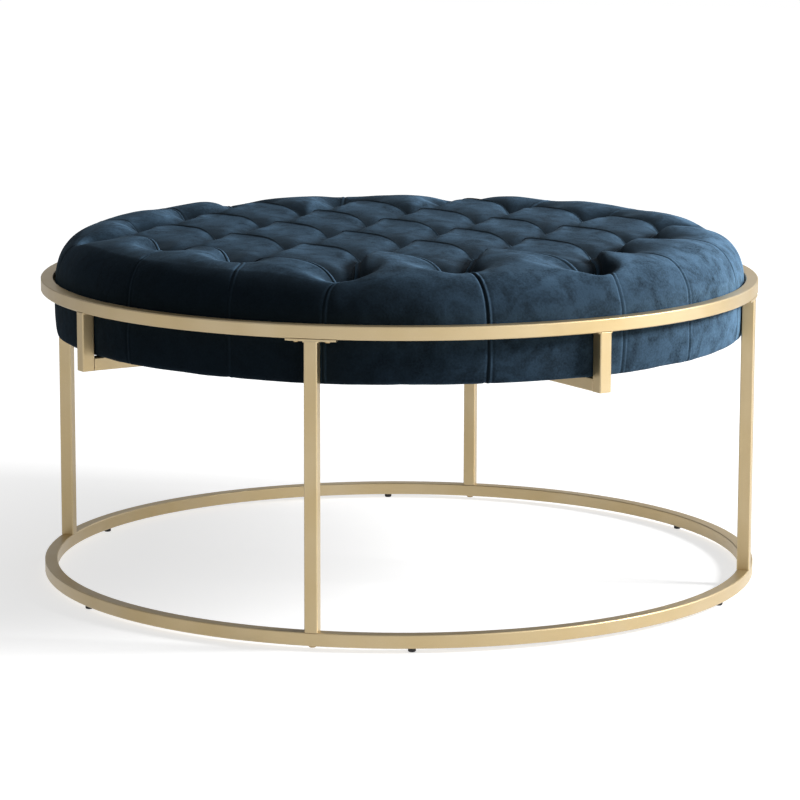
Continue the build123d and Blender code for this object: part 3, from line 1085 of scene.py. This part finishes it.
        if high:
            tuck = tuck + band
            inward = points[:, :1] - points[:, 3:4]
            inward = inward / np.linalg.norm(inward, axis=2, keepdims=True)
            lean = np.maximum(band, 0)[..., None] * inward
        return Patch(points, tuck, slot.clip(0, self.slot_depth), lean)

    def patches(self) -> list[Patch]:
        """Make all the puffs and side panels.

        Returns:
            The patches, puffs first.
        """
        known = {plan_key(tuft) for tuft in self.tufts().values()}
        made = []
        for number in range(1 - self.outermost_row, self.outermost_row):
            tufts = self.row(number)
            for (left, y), (right, _) in zip(tufts, tufts[1:]):
                x = (left + right) / 2
                if {plan_key((x, y - self.row_gap)), plan_key((x, y + self.row_gap))} <= known:
                    made.append(self.diamond(x, y))
        outer, angles = self.outer_tufts(), self.rim_angles()
        for index, tuft in enumerate(outer):
            after = outer[(index + 1) % len(outer)]
            strengths = self.pleat_strengths[index], self.pleat_strengths[(index + 1) % len(outer)]
            made.append(self.panel(tuft, after, (angles[index], angles[index + 1]), strengths))
        return made

    def welded(self, patches: list[Patch]) -> tuple:
        """Join the patches along their shared seams.

        Args:
            patches: the puffs and panels.

        Returns:
            Points, faces, and the tuck, slot and lean of each point.
        """
        points = np.concatenate([patch.points.reshape(-1, 3) for patch in patches])
        keys = np.round(points / 2e-6).astype(np.int64)
        _, first, where = np.unique(keys, axis=0, return_index=True, return_inverse=True)
        where = where.reshape(-1)
        flat = np.concatenate([
            np.stack([patch.tuck, patch.slot, *np.moveaxis(patch.lean, -1, 0)]).reshape(5, -1) for patch in patches
        ], axis=1)
        tuck, slot, *lean = (np.bincount(where, weights=values) / np.bincount(where) for values in flat)
        faces, offset = [], 0
        for patch in patches:
            columns, rows = patch.points.shape[:2]
            grid = where[offset:offset + columns * rows].reshape(columns, rows)
            quads = np.stack([grid[:-1, :-1], grid[1:, :-1], grid[1:, 1:], grid[:-1, 1:]], axis=-1)
            faces += [list(dict.fromkeys(quad)) for quad in quads.reshape(-1, 4).tolist()]
            offset += columns * rows
        faces = [face for face in faces if len(face) > 2]
        return points[first], faces, tuck, slot, np.stack(lean, axis=1)

    def pulled(self, points: Array) -> Array:
        """Move the cloth with its tufts, which no hand ties exactly in their rows.

        Args:
            points: the cover's points before they are turned.

        Returns:
            The moved points.
        """
        moved = points.copy()
        outer = {plan_key(tuft) for tuft in self.outer_tufts()}
        high = np.clip((points[:, 2] - self.crown + self.pull_floor) / self.pull_fade, 0, 1)
        for (number, index), (x, y) in self.tufts().items():
            stray = GOLDEN_ANGLE * (7 * number + index)
            pull = np.array([math.cos(stray), math.sin(stray)]) * self.stray
            depth = 0.0
            if plan_key((x, y)) in outer:
                pull = pull + np.array([x, y]) / math.hypot(x, y) * self.outer_pull
                depth = self.outer_depth
            pull = pull + self.pattern_shift + np.array(self.tuft_shifts.get((number, index), (0.0, 0.0)))
            away = np.hypot(points[:, 0] - x, points[:, 1] - y)
            near = np.clip(1 - (away / self.pull_reach) ** 2, 0, 1) ** 2
            moved[:, :2] += (near * high)[:, None] * pull
            moved[:, 2] -= depth * np.exp(-((away / self.hollow_reach) ** 2)) * high
        return moved

    def blown(self, places: Array, faces: list, held: Array) -> Array:
        """Let Blender's cloth simulation blow up a copy of the cover.

        Args:
            places: the copy's points.
            faces: its faces.
            held: which points stay where they are.

        Returns:
            Where each point comes to rest.
        """
        shell = mesh_object("cloth_copy", places, faces)
        outward = 1.0 if shell.data.vertices[int(np.argmax(places[:, 2]))].normal.z > 0 else -1.0
        group = shell.vertex_groups.new(name="held")
        group.add(np.flatnonzero(held).tolist(), 1.0, "REPLACE")
        cloth = shell.modifiers.new("cloth", "CLOTH")
        cloth.settings.use_pressure = True
        cloth.settings.uniform_pressure_force = outward * self.cloth_pressure
        cloth.settings.vertex_group_mass = group.name
        cloth.settings.effector_weights.gravity = 0.0
        cloth.collision_settings.use_collision = False
        scene, mesh = bpy.context.scene, shell.data
        for moment in range(1, self.cloth_frames + 1):
            scene.frame_set(moment)
        settled = shell.evaluated_get(bpy.context.evaluated_depsgraph_get()).data
        rest = np.empty(len(places) * 3)
        settled.vertices.foreach_get("co", rest)
        scene.frame_set(1)
        bpy.data.objects.remove(shell)
        bpy.data.meshes.remove(mesh)
        return rest.reshape(-1, 3)

    def inflated(self, points: Array) -> Array:
        """Swell the cloth between its seams as a coarse copy of the cover does when it is blown up.

        Args:
            points: the cover's points.

        Returns:
            How far each point moves.
        """
        coarse = replace(self, seam_stops=self.cloth_stops)
        places, faces, _, slot, _ = coarse.welded(coarse.patches())
        tufts = np.array(list(self.tufts().values()))
        to_tuft = np.min(np.hypot(places[:, :1] - tufts[:, 0], places[:, 1:2] - tufts[:, 1]), axis=1)
        side_top = self.crown - self.shoulder_drop
        held = (slot > 1e-5) | (to_tuft < self.cloth_tuft) | (places[:, 2] < side_top)
        moves = self.blown(places, faces, held) - places
        size = np.linalg.norm(moves, axis=1)
        usual = float(np.percentile(size[~held], 90))
        log.info("cloth copy: %d points, usual move %.1f mm", len(places), usual / MM)
        moves *= np.minimum(self.cloth_cap / usual, self.cloth_cap / (size + 1e-9))[:, None]
        moves[:, :2] *= self.cloth_sideways
        seams, copy = distance_tree(places[held]), distance_tree(places)
        to_seam = np.array([seams.find(place)[2] for place in places])
        moves *= (1 - np.exp(-((to_seam / self.cloth_margin) ** 2)))[:, None]
        spread = np.zeros_like(points)
        for index, place in enumerate(points):
            _, numbers, reaches = zip(*copy.find_n(place, self.cloth_near))
            weights = np.exp(-(np.array(reaches) / self.cloth_spread) ** 2)
            spread[index] = weights @ moves[list(numbers)] / (weights.sum() + 1e-12)
        return spread * np.clip((points[:, 2:] - side_top) / self.fade, 0, 1)

    def wrinkles(self, points: Array) -> Array:
        """Give the small unevenness of hand-pulled cloth.

        Args:
            points: the cover's points before they are turned.

        Returns:
            How far each point stands proud, in metres.
        """
        proud = np.zeros(len(points))
        for index, (x, y, z) in enumerate(points):
            broad = noise.noise(Vector((x, y, z)) * self.broad_scale)
            small = noise.noise(Vector((x + 3.0, y, z)) * self.small_scale)
            proud[index] = self.unevenness * (broad + self.small_share * small)
            down = min(1.0, max(0.0, (self.crown - z) / self.shoulder_drop - 0.4))
            if down > 0:
                round_seat = math.atan2(y, x) * self.radius
                proud[index] += self.drag_height * down * noise.noise(Vector((round_seat * 60.0, z * 14.0, 5.0)))
        for number, tuft in enumerate(self.tufts().values()):
            away = points[:, :2] - tuft
            reach = np.hypot(away[:, 0], away[:, 1])
            for index in np.flatnonzero((reach < 2.4 * self.gather_reach) & (points[:, 2] > self.crown - 0.05)):
                rho = reach[index] / self.gather_reach
                pull, way = rho * math.exp(1 - rho * 1.6), away[index] / max(reach[index], 1e-6)
                ray = noise.noise(Vector((way[0] * 2.6 + number * 7.1, way[1] * 2.6, number * 3.3)))
                proud[index] += self.gather_height * pull * ray
        return proud

    def build(self) -> Piece:
        """Build the cover and seat it in the frame.

        Returns:
            The cover, finished in velvet.
        """
        points, faces, tuck, slot, lean = self.welded(self.patches())
        points = points + self.inflated(points)
        shell = mesh_object("seat_cover_velvet", points, faces)
        normals = np.zeros(len(points) * 3)
        shell.data.vertices.foreach_get("normal", normals)
        normals = normals.reshape(-1, 3)
        if normals[np.argmax(points[:, 2]), 2] < 0:
            normals = -normals
        # Painted shade for hollows below the crown, away from the rim.
        shaded = self.radius - self.tuft_margin * self.shade_margin
        inward = np.clip((shaded - np.hypot(points[:, 0], points[:, 1])) / self.fade, 0, 1)
        hollow = np.clip((self.crown - points[:, 2] - self.shade_start) / self.shade_depth, 0, 1) * inward
        proud = tuck - slot + self.wrinkles(points)
        points = self.pulled(points + normals * proud[:, None] + lean * self.lean_share)
        points[:, 2] = np.maximum(points[:, 2], self.bottom)
        # Masks of painted shade in slots and creases and painted light on the rolls.
        seam = slot / self.slot_depth - tuck.clip(None, 0) / self.crease_depth
        for label, values in zip(SEAT_MASKS, (seam, tuck / self.tuck_height, hollow)):
            mask = shell.data.attributes.new(label, "FLOAT", "POINT")
            mask.data.foreach_set("value", np.clip(values, 0, 1))
        turn = math.radians(self.row_angle)
        spin = np.array([[math.cos(turn), math.sin(turn), 0], [-math.sin(turn), math.cos(turn), 0], [0, 0, 1]])
        points = points @ spin
        shell.data.vertices.foreach_set("co", points.reshape(-1))
        shell.data.update()
        finer = shell.modifiers.new("finer", "SUBSURF")
        finer.levels = finer.render_levels = 1
        Finish.VELVET.cover(shell)
        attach(shell, BODY)
        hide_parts("seat_cover")
        return shell


class CarriedNodes:
    """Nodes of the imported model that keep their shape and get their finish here."""

    def dress(self) -> int:
        """Give every node the finish that the record names for it.

        Returns:
            How many nodes were dressed.
        """
        parts = frame["record"]["subparts"]
        for part in parts:
            Finish[part["material_slot"].upper()].cover(frame["nodes"][part["node"]])
        return len(parts)


@dataclass
class TurnedScrews:
    """Upright screws of one kind, with domed heads below and hexagon sockets in them.

    Lengths are in metres.
    """

    node: str
    slot: str
    head_radius: float
    head_height: float
    shank_radius: float
    socket_width: float
    socket_depth: float
    pitch: float = 0.0008
    thread_depth: float = 0.0003
    socket_bevel: float = 0.0002
    flat_share: float = 0.62
    dome_share: float = 0.85
    dome_steps: int = 7
    tip_share: float = 0.7
    sides: int = 36
    apart: float = 0.012

    def places(self) -> list[tuple[Array, Array]]:
        """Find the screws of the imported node.

        Returns:
            Lowest and highest corner of each screw.
        """
        carried = frame["nodes"][self.node]
        corners = np.array([carried.matrix_world @ vertex.co for vertex in carried.data.vertices])
        found = []
        while len(corners):
            near = np.hypot(corners[:, 0] - corners[0, 0], corners[:, 1] - corners[0, 1]) < self.apart
            found.append((corners[near].min(axis=0), corners[near].max(axis=0)))
            corners = corners[~near]
        return found

    def rings(self, length: float, around: Array) -> list[tuple[Array, float]]:
        """Give the outline of one screw from the bottom of its socket to its tip.

        Args:
            length: the whole screw's length.
            around: angles round the screw, in radians.

        Returns:
            Radii round the screw and height over its lowest point, one pair for each ring.
        """
        socket = self.socket_width / 2 / np.cos((around + math.pi / 6) % (math.pi / 3) - math.pi / 6)
        full, flat = np.ones(len(around)), self.flat_share * self.head_radius
        rings = [(0.05 * socket, self.socket_depth), (socket, self.socket_depth), (socket, self.socket_bevel),
                 (socket + self.socket_bevel, 0.0), (flat * full, 0.0)]
        for turn in np.linspace(0, math.pi / 2, self.dome_steps + 1)[1:]:
            radius = flat + (self.head_radius - flat) * math.sin(turn)
            rings.append((radius * full, self.dome_share * self.head_height * (1 - math.cos(turn))))
        rings += [(self.head_radius * full, self.head_height), (self.shank_radius * full, self.head_height)]
        level, crest = self.head_height + self.pitch, True
        while level < length - self.pitch:
            rings.append(((self.shank_radius - self.thread_depth * (not crest)) * full, level))
            level, crest = level + self.pitch / 2, not crest
        return rings + [(self.tip_share * self.shank_radius * full, length)]

    def build(self) -> Piece:
        """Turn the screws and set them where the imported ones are.

        Returns:
            The screws as one piece.
        """
        around = np.arange(self.sides) * 2 * math.pi / self.sides
        stacks = []
        for low, high in self.places():
            x, y, _ = (low + high) / 2
            stacks.append(np.array([
                np.stack([x + radii * np.cos(around), y + radii * np.sin(around), 0 * around + low[2] + level], axis=1)
                for radii, level in self.rings(high[2] - low[2], around)
            ]))
        piece = mesh_object(self.node + "_turned", *joined_rings(stacks))
        piece.data.set_sharp_from_angle(angle=math.radians(32))
        Finish[self.slot.upper()].cover(piece)
        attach(piece, BODY)
        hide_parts(self.node)
        return piece


@dataclass
class WeldBeads:
    """Rippled weld beads in the two open corners of every joint between an upright tube and what it hangs from.

    Lengths are in metres.
    """

    tube: float
    legs: tuple[str, ...] = ("right", "back", "left", "front")
    posts: tuple[str, ...] = ("back_right", "back_left", "front_left", "front_right")
    radius: float = 0.0021
    ripple: float = 0.00022
    ripple_pitch: float = 0.0019
    inset: float = 0.0009
    end_share: float = 0.25
    end_power: float = 14.0
    stations: int = 49
    sides: int = 12

    def bead(self, middle: Array, along: Array, across: Array) -> Array:
        """Lay one bead.

        Args:
            middle: its middle, in the corner.
            along: direction of the bead.
            across: direction out of the tube's face.

        Returns:
            Its rings of points.
        """
        share = np.linspace(-1, 1, self.stations)[:, None, None]
        run = share * (self.tube / 2 - self.inset)
        taper = np.sqrt(1 - np.abs(share) ** self.end_power) * (1 - self.end_share) + self.end_share
        swell = (self.radius + self.ripple * np.abs(np.sin(np.pi * run / self.ripple_pitch))) * taper
        around = -2 * np.pi * np.arange(self.sides)[:, None] / self.sides
        return middle + run * along + swell * (np.cos(around) * across + np.sin(around) * np.array([0, 0, 1]))

    def build(self) -> Piece:
        """Lay all the beads.

        Returns:
            The beads as one piece.
        """
        beads = []
        for node in [f"leg_{side}" for side in self.legs] + [f"hanger_post_{side}" for side in self.posts]:
            low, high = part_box(node)
            x, y, _ = (low + high) / 2
            along = np.array([x, y, 0]) / math.hypot(x, y)
            across = np.array([-along[1], along[0], 0])
            beads += [self.bead(np.array([x, y, high.z]) + across * way * self.tube / 2, along, across)
                      for way in (-1, 1)]
        piece = mesh_object("weld_beads", *joined_rings(beads))
        Finish.FRAME_GOLD.cover(piece)
        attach(piece, BODY)
        return piece


@dataclass
class Studio:
    """White floor, soft lamps and the camera, which stands where the photograph was taken."""

    table_radius: float
    turn: float = 13.0
    distance: float = 4.3342
    height: float = 0.98625
    aside: float = 0.00098
    pitch: float = 0.1751
    roll: float = 0.0025
    focal_pixels: float = 3416.6
    image_pixels: float = 800.0
    room_dark: float = 0.38
    room_bright: float = 1.12
    room_behind: float = 0.55
    ambient: float = 0.036
    floor_half: float = 12.0
    floor_level: float = -0.0004
    lamp_target: float = 0.25

    def camera(self) -> Piece:
        """Set up the camera.

        Returns:
            The camera, made the scene's own.
        """
        data = bpy.data.cameras.new("photo_camera")
        data.sensor_width = 36.0
        data.lens = self.focal_pixels / self.image_pixels * data.sensor_width
        data.clip_end = 50.0
        camera = bpy.data.objects.new("photo_camera", data)
        bpy.context.scene.collection.objects.link(camera)
        across, back = Vector(heading(self.turn)), Vector(heading(self.turn - 90))
        camera.matrix_world = (
            Matrix.Translation(across * self.aside + back * self.distance + Vector((0, 0, self.height)))
            @ Matrix.Rotation(math.radians(self.turn), 4, "Z")
            @ Matrix.Rotation(math.pi / 2 - self.pitch, 4, "X")
            @ Matrix.Rotation(self.roll, 4, "Z")
        )
        bpy.context.scene.camera = camera
        return camera

    def lamp(self, name: str, azimuth: float, elevation: float, far: float, size: float, watts: float) -> None:
        """Hang a soft square lamp that looks at the middle of the table.

        Args:
            name: name of the lamp.
            azimuth: its side, in degrees counter-clockwise from the camera.
            elevation: its height, in degrees.
            far: its distance in metres.
            size: its width in metres.
            watts: its power.
        """
        data = bpy.data.lights.new(name, "AREA")
        data.shape, data.size, data.energy = "SQUARE", size, watts
        lamp = bpy.data.objects.new(name, data)
        bpy.context.scene.collection.objects.link(lamp)
        up = math.radians(elevation)
        way = Vector(heading(azimuth - 90 + self.turn)) * math.cos(up) + Vector((0, 0, math.sin(up)))
        lamp.location = Vector((0, 0, self.lamp_target)) + way * far
        lamp.rotation_euler = way.to_track_quat("Z", "Y").to_euler()

    def floor(self) -> Piece:
        """Lay the white floor.

        Returns:
            The floor.
        """
        corners = [(x * self.floor_half, y * self.floor_half, self.floor_level)
                   for x, y in ((-1, -1), (1, -1), (1, 1), (-1, 1))]
        floor = mesh_object("studio_floor", np.array(corners), [[0, 1, 2, 3]], smooth=False)
        floor.data.materials.append(FloorWhite(self.turn, self.table_radius, self.room_behind).material())
        return floor

    def sky(self) -> None:
        """Show plain white behind the table, and in the metal a room that is brighter on the key's side."""
        world = bpy.data.worlds.new("studio_world")
        world.use_nodes = True
        bpy.context.scene.world = world
        write = NodeWriter(world.node_tree)
        path = write.add("ShaderNodeLightPath").outputs
        way = write.add("ShaderNodeTexCoord").outputs["Generated"]
        room = write.ramp(write.along(way, heading(self.turn)), -1.0, 1.0, self.room_dark, self.room_bright)
        near_side = write.ramp(write.along(way, heading(self.turn - 90)), -0.9, 0.1, self.room_behind)
        mirrored = write.times(path["Is Glossy Ray"], room, near_side)
        seen = write.math("MAXIMUM", path["Is Camera Ray"], path["Is Transmission Ray"])
        strength = write.math("MAXIMUM", write.math("MAXIMUM", seen, mirrored), self.ambient)
        write.fill(world.node_tree.nodes["Background"], Color=(1.0, 1.0, 1.0, 1.0), Strength=strength)

    def build(self) -> None:
        """Set up floor, lamps, world and camera."""
        self.floor()
        self.sky()
        self.lamp("key_right", azimuth=80.0, elevation=27.0, far=3.4, size=0.8, watts=142.0)
        self.lamp("rim_back", azimuth=150.0, elevation=30.0, far=3.4, size=1.6, watts=8.0)
        self.lamp("fill_front", azimuth=40.0, elevation=20.0, far=4.6, size=2.2, watts=16.0)
        self.camera()
        bpy.context.scene.view_settings.view_transform = "Standard"


def main() -> None:
    """Dress the table and set up the studio, reporting each piece."""
    logging.basicConfig(level=logging.INFO, format="%(message)s")
    ring_low, ring_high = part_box("top_ring")
    tube = ring_high.z - ring_low.z
    seat_low, seat_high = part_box("seat_cover")
    log.info("dressed %d nodes", CarriedNodes().dress())
    builders = (
        TuftedSeat(crown=seat_high.z + 3 * MM, bottom=seat_low.z, radius=ring_high.x - tube - 0.5 * MM),
        TurnedScrews("leg_bolts", "fastener_gold", head_radius=4.75 * MM, head_height=2.8 * MM, shank_radius=2.5 * MM,
                     socket_width=3.0 * MM, socket_depth=1.5 * MM),
        TurnedScrews("plate_screws", "fastener_gold", head_radius=4.0 * MM, head_height=2.4 * MM,
                     shank_radius=2.0 * MM, socket_width=2.5 * MM, socket_depth=1.3 * MM, pitch=0.7 * MM),
        TurnedScrews("seat_screws", "steel", head_radius=5.0 * MM, head_height=3.0 * MM, shank_radius=2.5 * MM,
                     socket_width=3.0 * MM, socket_depth=1.6 * MM),
        WeldBeads(tube),
    )
    for builder in builders:
        piece = builder.build()
        log.info("%s: %d points", piece.name, len(piece.data.vertices))
    Studio(table_radius=ring_high.x).build()


if __name__ == "__main__":
    main()
